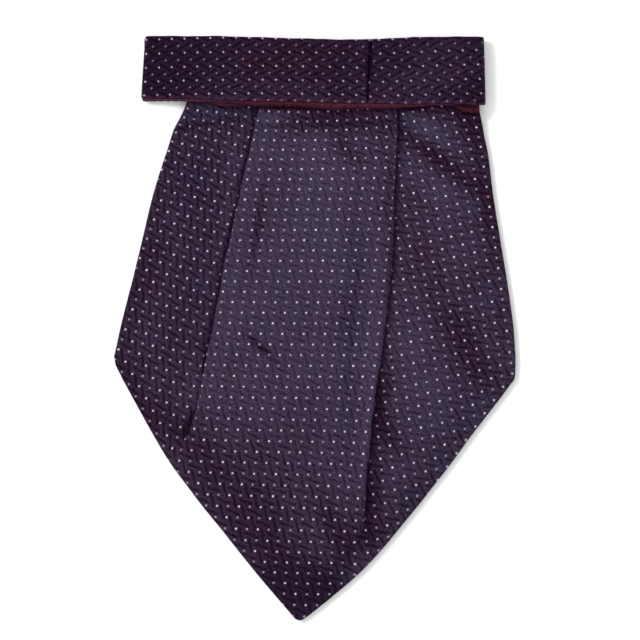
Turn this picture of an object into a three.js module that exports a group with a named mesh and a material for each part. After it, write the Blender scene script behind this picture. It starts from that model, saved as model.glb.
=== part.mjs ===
// A silk cravat, folded for display and lying face up on a flat surface.
// Millimetres. +X runs to the right across the garment, +Y up towards the neckband, +Z up off the surface.
// The origin is the centre of the outline, on the surface.
//
// The front blade is one cloth with a box pleat: its centre panel stands on two knife folds whose
// inner layers run under it. Below it lies the rear blade with the folded neck cloth, and the
// neckband passes round the top of both, with its lining showing along the lower edge.
import * as THREE from "three";

// ---------------------------------------------------------------- driving sizes
const WALL = 1.0; // silk with its backing
const GAP = 0.3; // air between two layers of cloth
const TURN = (WALL + GAP) / 2; // radius of a pressed fold, at the middle of the cloth
const RIM_BULGE = 0.4; // how far a turned edge rounds out
const LEAST_ARC = 1.2; // shortest bend that a fading pleat has, along the cloth

const REAR_INSET = 2.6; // the rear blade's edge lies this far inside the front blade's
const REAR_RIM = 1.0; // its thickness at the edge, one layer
const REAR_CORE = 2.2; // and inside, where its pleats and the neck cloth lie
const REAR_RISE = 14; // width over which it thickens

const BAND_CLEAR = 14; // the blades come down to the surface this far below the neckband
const BLADE_TOP = 112.9; // the blades end here, inside the neckband
const BAND_LIFT = WALL + GAP; // the blades ride on the neckband's rear stretch

// ---------------------------------------------------------------- tables
// The front blade's outline and its two fold lines. "corner" marks an edge's sharp point.
const BLADE = [
  { y: 112.9, left: -44.4, right: 61.6, foldL: -21.2, foldR: 33.6 },
  { y: 101.3, left: -48.0, right: 63.6, foldL: -22.0, foldR: 33.7 },
  { y: 89.7, left: -51.5, right: 65.9, foldL: -22.8, foldR: 33.8 },
  { y: 80.9, left: -55.1, right: 67.2, foldL: -25.0, foldR: 33.6 },
  { y: 69.7, left: -59.6, right: 69.3, foldL: -27.7, foldR: 33.2 },
  { y: 52.9, left: -64.9, right: 71.4, foldL: -31.2, foldR: 32.6 },
  { y: 36.1, left: -68.9, right: 74.1, foldL: -34.9, foldR: 31.6 },
  { y: 13.7, left: -74.4, right: 77.7, foldL: -39.6, foldR: 29.3 },
  { y: -3.1, left: -78.5, right: 79.8, foldL: -42.6, foldR: 27.4 },
  { y: -11.5, left: -80.3, right: 80.3, foldL: -44.2, foldR: 26.5, corner: "left" },
  { y: -19.9, left: -76.6, right: 80.0, foldL: -45.8, foldR: 25.2, corner: "right" },
  { y: -25.5, left: -73.9, right: 76.1, foldL: -46.8, foldR: 24.4 },
  { y: -44.7, left: -63.3, right: 61.3, foldL: -52.4, foldR: 22.5 },
  { y: -54.3, left: -57.4, right: 54.1, foldL: -50.6, foldR: 21.6 },
  { y: -63.9, left: -50.3, right: 46.7, foldL: -40.4, foldR: 20.7 },
  { y: -80.7, left: -37.0, right: 33.3, foldL: -23.6, foldR: 19.5 },
  { y: -87.9, left: -31.3, right: 27.2, foldL: -18.8, foldR: 14.4 },
  { y: -97.5, left: -23.6, right: 18.1, foldL: -12.4, foldR: 6.0 },
  { y: -107.1, left: -15.6, right: 7.0, foldL: -8.6, foldR: -1.0 },
  { y: -113.5, left: -10.2, right: -0.8, foldL: -6.9, foldR: -4.2 },
  { y: -116.6, left: -7.5, right: -4.4, foldL: -6.25, foldR: -5.65 },
];

// Each pleat: the cloth runs this far back under the centre panel, through this turn in degrees.
// A turn of 180 is a pressed fold, and it opens out to 0 where the pleat ends.
const LEFT_PLEAT = [
  { y: 112.9, run: 16.0, turn: 180 },
  { y: 89.7, run: 15.0, turn: 180 },
  { y: 36.1, run: 9.0, turn: 180 },
  { y: -3.1, run: 4.0, turn: 180 },
  { y: -30.0, run: 1.2, turn: 180 },
  { y: -40.0, run: 0.6, turn: 150 },
  { y: -44.7, run: 0.6, turn: 95 },
  { y: -50.0, run: 1.0, turn: 50 },
  { y: -54.3, run: 1.4, turn: 22 },
  { y: -63.9, run: 1.4, turn: 0 },
  { y: -116.6, run: 1.4, turn: 0 },
];
const RIGHT_PLEAT = [
  { y: 112.9, run: 22.0, turn: 180 },
  { y: 89.7, run: 21.0, turn: 180 },
  { y: 13.7, run: 11.0, turn: 180 },
  { y: -44.7, run: 4.5, turn: 180 },
  { y: -68.0, run: 1.5, turn: 180 },
  { y: -76.0, run: 0.7, turn: 150 },
  { y: -80.7, run: 0.6, turn: 90 },
  { y: -87.9, run: 1.2, turn: 35 },
  { y: -97.5, run: 1.4, turn: 0 },
  { y: -116.6, run: 1.4, turn: 0 },
];

// The neckband's front stretch: the top of what it passes over, and its edges.
// "lining" is the lower edge of the lining, which hangs a little below the silk.
const BAND = [
  { x: -69.0, under: 1.3, top: 116.7, bottom: 91.5, lining: 90.8 },
  { x: -60.0, under: 2.3, top: 116.8, bottom: 91.6, lining: 90.8 },
  { x: -50.0, under: 4.4, top: 116.8, bottom: 91.5, lining: 90.7 },
  { x: -40.0, under: 5.7, top: 116.8, bottom: 91.1, lining: 90.0 },
  { x: -33.0, under: 6.7, top: 116.7, bottom: 90.9, lining: 88.8 },
  { x: -25.0, under: 7.4, top: 116.5, bottom: 90.7, lining: 88.8 },
  { x: -6.0, under: 7.4, top: 116.0, bottom: 90.4, lining: 88.1 },
  { x: 11.0, under: 7.4, top: 115.7, bottom: 90.1, lining: 87.5 },
  { x: 22.0, under: 7.4, top: 115.7, bottom: 89.8, lining: 87.9 },
  { x: 36.0, under: 7.4, top: 116.1, bottom: 89.5, lining: 88.2 },
  { x: 46.0, under: 6.3, top: 116.4, bottom: 89.4, lining: 88.6 },
  { x: 54.0, under: 5.5, top: 116.5, bottom: 89.7, lining: 88.8 },
  { x: 61.0, under: 4.8, top: 116.5, bottom: 89.9, lining: 86.6 },
  { x: 65.0, under: 4.3, top: 116.4, bottom: 89.8, lining: 85.9 },
  { x: 68.5, under: 4.0, top: 116.4, bottom: 89.6, lining: 86.4 },
];
// How far the band's upright lines lean: x at the top less x at the bottom.
const LEAN = [
  { x: -69, lean: 1.6 },
  { x: 22, lean: 1.3 },
  { x: 69, lean: -0.7 },
];
const BAND_LEFT = -68.4; // the folded ends, half way up
const BAND_RIGHT = 68.0;
const FRONT_SEAM = 21.75; // where the neckband's two halves are sewn together
const REAR_JOIN = -3.0; // and where they meet behind
const REAR_TOP = 116.0;
const REAR_BOTTOM = 90.3;
const LINING_LEFT = -66.8;
const LINING_RIGHT = 65.3;

// ---------------------------------------------------------------- helpers
// A smooth curve through a table's column, with no overshoot. A corner row splits it.
function column(table, at, key, corner) {
  const rows = [...table].sort((a, b) => a[at] - b[at]);
  const cut = corner ? rows.findIndex((r) => r.corner === corner) : -1;
  const spans = cut > 0 ? [rows.slice(0, cut + 1), rows.slice(cut)] : [rows];
  const curves = spans.map((part) => {
    const x = part.map((r) => r[at]);
    const v = part.map((r) => r[key]);
    const d = x.slice(1).map((_, i) => (v[i + 1] - v[i]) / (x[i + 1] - x[i]));
    const m = x.map((_, i) => {
      if (i === 0) return d[0];
      if (i === x.length - 1) return d[i - 1];
      return d[i - 1] * d[i] <= 0 ? 0 : (2 * d[i - 1] * d[i]) / (d[i - 1] + d[i]);
    });
    return { x, v, m };
  });
  return (q) => {
    const c = curves.length > 1 && q > curves[1].x[0] ? curves[1] : curves[0];
    const last = c.x.length - 1;
    if (q <= c.x[0]) return c.v[0];
    if (q >= c.x[last]) return c.v[last];
    const i = c.x.findIndex((_, k) => k < last && q <= c.x[k + 1]);
    const h = c.x[i + 1] - c.x[i];
    const t = (q - c.x[i]) / h;
    return (
      c.v[i] * (1 + 2 * t) * (1 - t) ** 2 + c.m[i] * h * t * (1 - t) ** 2 +
      c.v[i + 1] * t * t * (3 - 2 * t) + c.m[i + 1] * h * t * t * (t - 1)
    );
  };
}
const smooth = (t) => THREE.MathUtils.smoothstep(t, 0, 1);
const lerp = THREE.MathUtils.lerp;
const steps = (n) => Array.from({ length: n + 1 }, (_, i) => i / n);

// A closed body through rings of points, all with the same count, with flat ends.
function loft(rings, flatAxes) {
  const count = rings[0].length;
  const position = rings.flat().flatMap((p) => [p.x, p.y, p.z]);
  const index = [];
  for (let k = 0; k + 1 < rings.length; k++)
    for (let i = 0; i < count; i++) {
      const a = k * count + i;
      const b = k * count + ((i + 1) % count);
      index.push(a, b, b + count, a, b + count, a + count);
    }
  const [u, v] = flatAxes;
  for (const [ring, base, turned] of [
    [rings[0], 0, true],
    [rings[rings.length - 1], (rings.length - 1) * count, false],
  ]) {
    const flat = ring.map((p) => new THREE.Vector2(p[u], p[v]));
    const clockwise = THREE.ShapeUtils.isClockWise(flat);
    const order = ring.map((_, i) => (clockwise ? count - 1 - i : i));
    for (const f of THREE.ShapeUtils.triangulateShape(order.map((i) => flat[i]), [])) {
      const [a, b, c] = f.map((i) => base + order[i]);
      if (clockwise !== turned) index.push(a, c, b);
      else index.push(a, b, c);
    }
  }
  // Faces must point out: turn them all round if the volume comes out negative.
  const at = (i) => new THREE.Vector3().fromArray(position, 3 * i);
  let volume = 0;
  for (let i = 0; i < index.length; i += 3)
    volume += at(index[i]).dot(at(index[i + 1]).cross(at(index[i + 2])));
  if (volume < 0)
    for (let i = 0; i < index.length; i += 3)
      [index[i + 1], index[i + 2]] = [index[i + 2], index[i + 1]];
  const g = new THREE.BufferGeometry();
  g.setAttribute("position", new THREE.Float32BufferAttribute(position, 3));
  g.setIndex(index);
  g.computeVertexNormals();
  return g;
}

// ---------------------------------------------------------------- blades
const leftEdge = column(BLADE, "y", "left", "left");
const rightEdge = column(BLADE, "y", "right", "right");
const foldL = column(BLADE, "y", "foldL");
const foldR = column(BLADE, "y", "foldR");
const pleatColumns = (table) => ({ run: column(table, "y", "run"), turn: column(table, "y", "turn") });
const pleatL = pleatColumns(LEFT_PLEAT);
const pleatR = pleatColumns(RIGHT_PLEAT);

// How far the blades are lifted by the neckband's rear stretch beneath them.
const bandBottom = column(BAND, "x", "bottom");
const lift = (y) => BAND_LIFT * smooth((y - (REAR_BOTTOM - BAND_CLEAR)) / (BAND_CLEAR - 1.5));
// The top of the rear blade, rounded down towards its edge.
function rearTop(x, y) {
  const inside = Math.min(x - leftEdge(y), rightEdge(y) - x) * 0.85 - 1.5;
  return lift(y) + REAR_RIM + (REAR_CORE - REAR_RIM) * smooth(inside / REAR_RISE);
}

// One pleat's bends, as steps along the middle of the cloth: up and back, the run, and forward again.
const BEND_STEPS = 4;
function pleatSteps(run, turnDegrees, scale) {
  const turn = THREE.MathUtils.degToRad(turnDegrees);
  const arc = Math.max(TURN * turn, LEAST_ARC * scale);
  const out = [];
  for (let i = 0; i < BEND_STEPS; i++)
    out.push({ from: (turn * i) / BEND_STEPS, to: (turn * (i + 1)) / BEND_STEPS, length: arc / BEND_STEPS });
  out.push({ from: turn, to: turn, length: Math.max(run * (turnDegrees > 179 ? 1 : scale), 0.02) });
  for (let i = 0; i < BEND_STEPS; i++)
    out.push({ from: turn - (turn * i) / BEND_STEPS, to: turn - (turn * (i + 1)) / BEND_STEPS, length: arc / BEND_STEPS });
  return out;
}
// The pleat as points (x, h, heading) from its start at (0, 0), heading +X.
function pleatPath(run, turnDegrees, scale) {
  const out = [{ x: 0, h: 0, heading: 0 }];
  for (const s of pleatSteps(run, turnDegrees, scale)) {
    const p = out[out.length - 1];
    const half = (s.to - s.from) / 2;
    const chord = Math.abs(half) > 1e-9 ? (s.length * Math.sin(half)) / half : s.length;
    const mid = (s.from + s.to) / 2;
    out.push({ x: p.x + chord * Math.cos(mid), h: p.h + chord * Math.sin(mid), heading: s.to });
  }
  return out;
}

const SIDE_STEPS = 6;
const CENTRE_STEPS = 8;
// The middle line of the front blade's cloth across the garment at height y.
function bladeLine(y) {
  const left = leftEdge(y) + RIM_BULGE;
  const right = rightEdge(y) - RIM_BULGE;
  const scale = Math.min(1, (right - left) / 42);
  const bulge = TURN + WALL / 2;
  const pathL = pleatPath(pleatL.run(y), pleatL.turn(y), scale);
  const pathR = pleatPath(pleatR.run(y), pleatR.turn(y), scale);
  const endL = pathL[pathL.length - 1];
  const endR = pathR[pathR.length - 1];
  const topL = foldL(y) + bulge * scale; // where the centre panel starts
  const topR = foldR(y) - bulge * scale; // and ends
  const out = [];
  const startL = topL - endL.x;
  const startR = topR + endR.x;
  for (const t of steps(SIDE_STEPS).slice(0, -1)) out.push({ x: lerp(left, startL, t), h: 0, heading: 0 });
  for (const p of pathL) out.push({ x: startL + p.x, h: p.h, heading: p.heading });
  for (const t of steps(CENTRE_STEPS).slice(1, -1)) out.push({ x: lerp(topL, topR, t), h: lerp(endL.h, endR.h, smooth(t)), heading: 0 });
  for (const p of [...pathR].reverse()) out.push({ x: startR - p.x, h: p.h, heading: -p.heading });
  for (const t of steps(SIDE_STEPS).slice(1)) out.push({ x: lerp(startR, right, t), h: 0, heading: 0 });
  return out;
}
function bladeRing(y) {
  const line = bladeLine(y);
  const place = (x, h) => new THREE.Vector3(x, y, rearTop(x, y) + GAP + WALL / 2 + h);
  const side = (p, w) => place(p.x - w * Math.sin(p.heading), p.h + w * Math.cos(p.heading));
  const first = line[0];
  const last = line[line.length - 1];
  const round = RIM_BULGE * 0.75;
  return [
    ...line.map((p) => side(p, WALL / 2)),
    place(last.x + round, last.h + WALL * 0.28),
    place(last.x + RIM_BULGE, last.h - WALL * 0.05),
    place(last.x + round, last.h - WALL * 0.34),
    ...[...line].reverse().map((p) => side(p, -WALL / 2)),
    place(first.x - round, first.h - WALL * 0.34),
    place(first.x - RIM_BULGE, first.h - WALL * 0.05),
    place(first.x - round, first.h + WALL * 0.28),
  ];
}
const stationSet = new Set([...BLADE, ...LEFT_PLEAT, ...RIGHT_PLEAT].map((r) => r.y));
for (const y of [96, 85.5, 76, 61, 25, 5, -35, -60, -72]) stationSet.add(y);
const byHeight = [...stationSet].sort((a, b) => b - a);
const stations = byHeight.filter((y, i) => i === 0 || byHeight[i - 1] - y > 1.9 || y < -116);
const frontBlade = loft(stations.map(bladeRing), ["x", "z"]);

const REAR_STEPS = 10;
const REAR_TIP = -112.6;
function rearRing(y) {
  const half = (rightEdge(y) - leftEdge(y)) / 2;
  const middle = (rightEdge(y) + leftEdge(y)) / 2;
  const width = Math.max(half - REAR_INSET, 1.2);
  const [left, right] = [middle - width, middle + width];
  const low = lift(y);
  const edge = (x, z, out) => new THREE.Vector3(x + out, y, z);
  const span = steps(REAR_STEPS).map((t) => lerp(left + 0.4, right - 0.4, t));
  return [
    ...span.map((x) => edge(x, rearTop(x, y), 0)),
    edge(right, low + REAR_RIM * 0.72, -0.1),
    edge(right, low + REAR_RIM * 0.35, 0),
    ...[...span].reverse().map((x) => edge(x, low, 0)),
    edge(left, low + REAR_RIM * 0.35, 0),
    edge(left, low + REAR_RIM * 0.72, 0.1),
  ];
}
const rearStations = [
  BLADE_TOP - 1, 100, REAR_BOTTOM - 1, 87, 84, 81, REAR_BOTTOM - BAND_CLEAR, 62, 45, 25, 5, -11.5, -19.9, -30, -45, -60, -75, -88, -98, -106, REAR_TIP,
];
const rearBlade = loft(rearStations.map(rearRing), ["x", "z"]);

// ---------------------------------------------------------------- neckband
const under = column(BAND, "x", "under");
const bandTop = column(BAND, "x", "top");
const liningBottom = column(BAND, "x", "lining");
const lean = column(LEAN, "x", "lean");

// A strip of cloth along a path of {x, z, heading, low, high}: a rounded section swept along it.
function strip(path, thickness) {
  const w = thickness / 2;
  const round = Math.min(0.35, w * 0.7);
  return loft(
    path.map((p) => {
      const at = (off, y) => {
        const v = (y - p.low) / (p.high - p.low) - 0.5;
        return new THREE.Vector3(p.x - off * Math.sin(p.heading) + lean(p.x) * v, y, p.z + off * Math.cos(p.heading));
      };
      return [
        at(-w, p.low + round), at(-w * 0.4, p.low), at(w * 0.4, p.low), at(w, p.low + round),
        at(w, p.high - round), at(w * 0.4, p.high), at(-w * 0.4, p.high), at(-w, p.high - round),
      ];
    }),
    ["y", "z"],
  );
}
const frontHeight = (x) => under(x) + 2 * GAP + WALL * 1.5; // middle of the band's cloth, over the lining
function frontPoint(x) {
  const e = 0.5;
  const slope = (frontHeight(x + e) - frontHeight(x - e)) / (2 * e);
  return { x, z: frontHeight(x), heading: Math.atan(slope), low: bandBottom(x), high: bandTop(x) };
}
// Half of the band, from the front seam round one folded end to the join behind. side is -1 or 1.
function bandHalf(side, end, xs) {
  const rearZ = WALL / 2;
  const outer = end - (side * WALL) / 2; // the cloth's middle at the fold
  let radius = 1.5;
  for (let i = 0; i < 20; i++) radius = (frontHeight(outer - side * radius) - rearZ) / 2;
  const centre = outer - side * radius;
  const path = xs.filter((x) => side * (centre - x) > 2).map(frontPoint);
  const flip = side > 0 ? Math.PI : 0; // the path runs towards +X on the right half
  for (const t of steps(8)) {
    const a = Math.PI * (0.5 - t);
    const s = smooth(t);
    path.push({
      x: centre + side * radius * Math.cos(a),
      z: rearZ + radius + radius * Math.sin(a),
      heading: side > 0 ? a - Math.PI / 2 : Math.PI / 2 - a,
      low: lerp(bandBottom(centre), REAR_BOTTOM, s),
      high: lerp(bandTop(centre), REAR_TOP, s),
    });
  }
  const join = REAR_JOIN + side * (GAP / 2);
  for (const t of steps(4).slice(1))
    path.push({ x: lerp(centre, join, t), z: rearZ, heading: side > 0 ? -Math.PI : Math.PI, low: REAR_BOTTOM, high: REAR_TOP });
  return path;
}
const seamLeft = FRONT_SEAM - GAP / 2;
const seamRight = FRONT_SEAM + GAP / 2;
const bandLeft = strip(bandHalf(-1, BAND_LEFT, [seamLeft, 12, 0, -12, -22, -26, -32, -38, -44, -50, -55, -60]), WALL);
const bandRight = strip(bandHalf(1, BAND_RIGHT, [seamRight, 28, 35, 39, 44, 50, 55, 60, 63]), WALL);

const LINING_TOP_DROP = 2.0;
const liningXs = [LINING_LEFT, -60, -50, -44, -40, -36.5, -33, -29, -25, -15, -6, 3, 11, 16, 22, 29, 36, 41, 46, 50, 54, 57.5, 61, 63.2, LINING_RIGHT];
const lining = strip(
  liningXs.map((x) => ({ ...frontPoint(x), z: under(x) + GAP + WALL / 2, low: liningBottom(x), high: bandTop(x) - LINING_TOP_DROP })),
  WALL,
);

// ---------------------------------------------------------------- the garment
const silk = { color: 0x3a2a42, roughness: 0.52, metalness: 0.0 };
const wine = { color: 0x4a1a28, roughness: 0.6, metalness: 0.0 };
const cravat = new THREE.Group();
for (const [name, geometry, look] of [
  ["front_blade", frontBlade, silk],
  ["rear_blade", rearBlade, silk],
  ["neckband_left", bandLeft, silk],
  ["neckband_right", bandRight, silk],
  ["neckband_lining", lining, wine],
]) {
  const mesh = new THREE.Mesh(geometry, new THREE.MeshStandardMaterial(look));
  mesh.name = name;
  cravat.add(mesh);
}
export default cravat;
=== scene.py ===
import math

import bpy
import numpy as np
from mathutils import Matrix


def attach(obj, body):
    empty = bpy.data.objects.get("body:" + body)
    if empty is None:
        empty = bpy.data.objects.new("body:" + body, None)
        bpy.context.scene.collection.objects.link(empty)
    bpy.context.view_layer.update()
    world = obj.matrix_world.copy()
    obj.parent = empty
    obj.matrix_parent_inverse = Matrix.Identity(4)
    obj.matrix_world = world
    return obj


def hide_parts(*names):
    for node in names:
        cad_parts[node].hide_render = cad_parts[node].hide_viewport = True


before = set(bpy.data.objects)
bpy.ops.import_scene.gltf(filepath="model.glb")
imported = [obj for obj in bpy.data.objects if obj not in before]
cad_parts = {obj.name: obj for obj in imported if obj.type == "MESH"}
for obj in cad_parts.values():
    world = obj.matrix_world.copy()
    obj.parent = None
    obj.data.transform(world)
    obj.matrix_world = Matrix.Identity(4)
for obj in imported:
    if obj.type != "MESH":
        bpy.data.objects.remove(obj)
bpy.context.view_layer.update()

# A silk cravat, folded for display, lying face up. Sizes below are in millimetres and become metres in the meshes.
# A place on the cloth is often given in the plan's own units of 0.4 mm, counted from the plan's top left corner:
# across to the right, down towards the point.
UNIT = 0.4
PLAN_X, PLAN_Y = 315.0, 328.25


def plan(x, y):
    return x / UNIT + PLAN_X, PLAN_Y - y / UNIT


# ------------------------------------------------------------------ sizes
WALL = 0.8  # the cloth, a little thinner than its solid
TURN = 0.55  # radius of a pressed fold, at the middle of the cloth
GAP = 0.3
CAD_WALL = 1.0
RIM_BULGE = 0.35
LEAST_ARC = 1.2
REAR_RIM = 1.0
REAR_CORE = 2.2
REAR_RISE = 14.0
REAR_INSET = 2.6
BAND_CLEAR = 14.0
BAND_LIFT = 1.3

# The front blade's outline and fold lines across the garment, at heights along it.
BLADE = {
    "y":     [112.9, 101.3, 89.7, 81.6, 78.5, 69.7, 52.9, 36.1, 13.7, -3.1, -8.7, -11.3, -14.3, -19.1, -20.7, -22.3, -25.5, -44.7, -54.3, -63.9, -71.9, -80.7, -87.9, -97.5, -107.1, -113.5, -116.0, -116.6, -116.9],
    "left":  [-44.4, -48.0, -51.5, -54.9, -56.0, -59.4, -64.7, -68.9, -74.4, -78.5, -79.7, -80.3, -79.6, -77.2, -76.5, -75.6, -73.9, -63.3, -57.4, -50.3, -44.2, -37.0, -31.3, -23.6, -15.6, -10.2, -8.1, -7.3, -6.5],
    "right": [61.6, 63.6, 65.9, 67.1, 67.5, 69.3, 71.4, 74.1, 77.7, 79.8, 80.1, 80.3, 80.3, 80.1, 79.7, 78.4, 76.1, 61.3, 54.1, 46.7, 40.7, 33.3, 27.2, 18.1, 7.0, -0.8, -4.0, -4.9, -5.6],
}
LEFT_CORNER = -11.3
FOLDS = {
    "y": [112.9, 101.3, 89.7, 80.9, 69.7, 52.9, 36.1, 13.7, -3.1, -11.5, -19.9, -25.5, -44.7, -54.3, -63.9, -80.7, -87.9, -97.5, -107.1, -113.5, -116.9],
    "left": [-21.2, -22.0, -22.9, -25.0, -27.6, -31.1, -34.8, -39.5, -42.6, -44.2, -45.8, -46.8, -52.4, -50.6, -40.4, -23.6, -18.8, -12.4, -8.6, -6.9, -6.2],
    "right": [33.6, 33.7, 33.8, 33.5, 33.1, 32.4, 31.3, 29.0, 27.1, 26.1, 25.0, 24.2, 22.2, 21.3, 20.6, 19.3, 14.4, 6.0, -1.0, -4.2, -5.9],
}
# How far each fold's edge stands to the right of that line, which is the middle of the dark crook beside it.
NUDGE = {
    "y": [86.1, 76.5, 65.3, 59.7, 42.9, 31.7, 23.3, 14.9, 3.7, -7.5, -18.7, -28.7, -41.1, -56.7, -68.7],
    "left": [0.40, 0.72, 1.00, 0.95, 0.56, 0.60, 0.80, 1.05, 0.80, 0.72, 0.84, 0.80, 0.95, 0.0, 0.0],
    "right": [-0.40, -0.44, -0.40, -0.32, 0.08, 0.28, 0.55, 0.85, 0.60, 0.50, 0.40, 0.35, 0.0, 0.0, 0.1],
}
# Each pleat: how far the cloth runs back under the centre panel, and through what turn in degrees.
PLEAT_L = {
    "y": [112.9, 89.7, 36.1, -3.1, -30.0, -38.0, -43.0, -48.0, -53.0, -60.0, -117],
    "run": [16.0, 15.0, 9.0, 4.0, 1.6, 1.0, 0.8, 0.9, 1.2, 1.4, 1.4],
    "turn": [180, 180, 180, 180, 180, 165, 110, 45, 15, 0, 0],
}
PLEAT_R = {
    "y": [112.9, 89.7, 13.7, -44.7, -68.0, -76.0, -81.5, -87.9, -97.5, -117],
    "run": [22.0, 21.0, 11.0, 4.5, 1.8, 1.0, 0.8, 1.2, 1.4, 1.4],
    "turn": [180, 180, 180, 180, 180, 165, 100, 32, 0, 0],
}
# The neckband's front stretch: what it passes over, its edges, and the lining's lower edge.
BAND = {
    "x":      [-69.0, -65.5, -60.0, -50.0, -40.0, -33.0, -25.0, -15.0, -6.0, 4.0, 11.0, 16.0, 22.0, 30.0, 36.0, 40.0, 46.0, 54.0, 61.0, 65.0, 68.5],
    "under":  [1.3, 1.6, 2.3, 4.4, 5.7, 6.7, 7.4, 7.4, 7.4, 7.4, 7.4, 7.4, 7.4, 7.4, 7.4, 6.9, 6.3, 5.5, 4.8, 4.3, 4.0],
    "top":    [116.85, 116.95, 116.9, 116.75, 116.7, 116.45, 116.2, 115.9, 115.65, 115.4, 115.23, 115.25, 115.4, 115.8, 116.0, 116.2, 116.35, 116.45, 116.5, 116.55, 116.35],
    "bottom": [92.2, 92.15, 92.05, 91.8, 91.4, 91.0, 90.8, 90.6, 90.45, 90.25, 90.05, 89.9, 89.8, 89.65, 89.55, 89.5, 89.6, 89.75, 89.5, 89.1, 88.8],
}
LINING = {
    "x": [-69.0, -66.0, -60.0, -51.0, -47.0, -44.0, -40.0, -37.2, -34.0, -28.0, -21.2, -15.0, -10.0, -2.0, 4.0, 10.0, 15.0, 22.0, 28.0, 34.0, 38.0, 44.0, 50.0, 54.5, 56.6, 58.8, 61.2, 64.0, 65.6],
    "low": [91.0, 90.75, 90.8, 90.65, 90.45, 90.4, 89.65, 88.95, 88.65, 88.55, 88.5, 88.5, 88.4, 88.0, 87.5, 87.1, 87.2, 87.7, 87.7, 87.7, 88.2, 88.75, 89.1, 89.0, 87.8, 86.7, 86.2, 86.1, 86.3],
}
# The lining's painted sheen along its length: "light" lifts it, "pale" turns it paler towards violet pink.
SATIN = {
    "x":     [-69, -50, -44, -38, -32, -20, -8, 0, 13, 28, 40, 50, 56, 62, 66],
    "light": [0.50, 0.50, 0.50, 0.42, 0.42, 0.42, 0.50, 0.62, 0.64, 0.78, 0.64, 0.52, 0.60, 0.62, 0.68],
    "pale":  [0.90, 0.90, 0.85, 0.50, 0.30, 0.15, 0.10, 0.05, 0.05, 0.20, 0.40, 0.55, 0.15, 0.15, 0.35],
}
LEAN = {"x": [-69, 22, 69], "lean": [1.6, 1.3, -0.7]}
BAND_LEFT, BAND_RIGHT = -68.85, 68.0
REAR_JOIN = -3.0
REAR_TOP, REAR_BOTTOM = 115.2, 90.3
BACK_BOTTOM = 91.5
LINING_LEFT, LINING_RIGHT = -68.3, 65.5
# The sewn seam between the neckband's halves: a groove that opens towards the top.
SEAM = {"y": [89.5, 96.0, 103.0, 110.0, 116.5], "x": [21.0, 21.28, 21.73, 22.38, 22.85], "half": [0.25, 0.35, 0.5, 0.65, 0.8]}
# Painted shade in the seam's groove, by height up the band.
SEAM_SHADE = {"y": [89.5, 96.0, 101.0, 105.0, 110.0, 113.5, 116.5], "dark": [0.40, 0.45, 0.75, 1.0, 0.96, 0.72, 0.55]}


def column(table, at, key, corner=None):
    """A smooth curve through two columns of a table, with no overshoot. It may turn sharply at corner."""
    order = np.argsort(table[at])
    x = np.array(table[at], float)[order]
    v = np.array(table[key], float)[order]
    d = np.diff(v) / np.diff(x)
    m = np.empty_like(x)
    m[0], m[-1] = d[0], d[-1]
    for i in range(1, len(x) - 1):
        m[i] = 0 if d[i - 1] * d[i] <= 0 else 2 * d[i - 1] * d[i] / (d[i - 1] + d[i])
    left, right = m.copy(), m.copy()
    if corner is not None:
        k = int(np.argmin(abs(x - corner)))
        left[k], right[k] = d[k - 1], d[k]

    def at_q(q):
        q = np.clip(np.asarray(q, float), x[0], x[-1])
        i = np.clip(np.searchsorted(x, q, side="right") - 1, 0, len(x) - 2)
        h = x[i + 1] - x[i]
        t = (q - x[i]) / h
        return v[i] * (1 + 2 * t) * (1 - t) ** 2 + right[i] * h * t * (1 - t) ** 2 + v[i + 1] * t * t * (3 - 2 * t) + left[i + 1] * h * t * t * (t - 1)

    return at_q


def smooth(t):
    t = np.clip(t, 0, 1)
    return t * t * (3 - 2 * t)


def lerp(a, b, t):
    return a + (b - a) * t


left_edge = column(BLADE, "y", "left", LEFT_CORNER)
right_edge = column(BLADE, "y", "right")
fold_l_even = column(FOLDS, "y", "left", -44.7)
fold_r_even = column(FOLDS, "y", "right", -80.7)
nudge_l, nudge_r = column(NUDGE, "y", "left"), column(NUDGE, "y", "right")
run_l, turn_l = column(PLEAT_L, "y", "run"), column(PLEAT_L, "y", "turn")
run_r, turn_r = column(PLEAT_R, "y", "run"), column(PLEAT_R, "y", "turn")
band_under, band_top, band_bottom = (column(BAND, "x", k) for k in ("under", "top", "bottom"))
lining_bottom = column(LINING, "x", "low")
satin_light, satin_pale = column(SATIN, "x", "light"), column(SATIN, "x", "pale")
lean = column(LEAN, "x", "lean")
seam_x, seam_half, seam_shade = column(SEAM, "y", "x"), column(SEAM, "y", "half"), column(SEAM_SHADE, "y", "dark")


# The front blade's edges lie a little further out than its solid's, or further in.
LEFT_OUT = {
    "y": [112.9, 89.7, 84.5, 78.5, 74.0, 70.5, 54.0, 38.0, 22.0, 6.0, -9.5, -17.5, -33.5, -57.5, -97.5, -113.0],
    "out": [0.1, 0.1, 0.2, 0.95, 0.60, 0.35, 0.30, 0.15, 0.05, 0.20, 0.15, 0.45, 0.33, 0.36, 0.40, 0.20],
}
RIGHT_OUT = {
    "y": [112.9, 91.0, 88.5, 86.5, 84.0, 79.0, -44.0, -50.0, -57.5, -65.5, -73.5, -81.5, -89.5, -97.5, -105.5, -113.5, -116.9],
    "out": [0.0, 0.0, -0.30, -0.45, -0.30, 0.0, 0.0, 0.22, 0.30, 0.14, -0.14, 0.08, 0.24, 0.32, 0.38, 0.24, 0.10],
}
left_out, right_out = column(LEFT_OUT, "y", "out"), column(RIGHT_OUT, "y", "out")


def uneven(y, phase):
    """A slow wander along an edge or fold."""
    y = np.asarray(y, float)
    return 0.16 * np.sin(y / 6.1 + phase) + 0.12 * np.sin(y / 2.9 + 2.3 * phase) + 0.07 * np.sin(y / 1.45 + 4.1 * phase)


def fold_l(y):
    return fold_l_even(y) + nudge_l(y) + uneven(y, 1.0) * smooth((np.asarray(y, float) + 95) / 30)


def fold_r(y):
    return fold_r_even(y) + nudge_r(y) + uneven(y, 2.6) * smooth((np.asarray(y, float) + 105) / 30)


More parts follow.
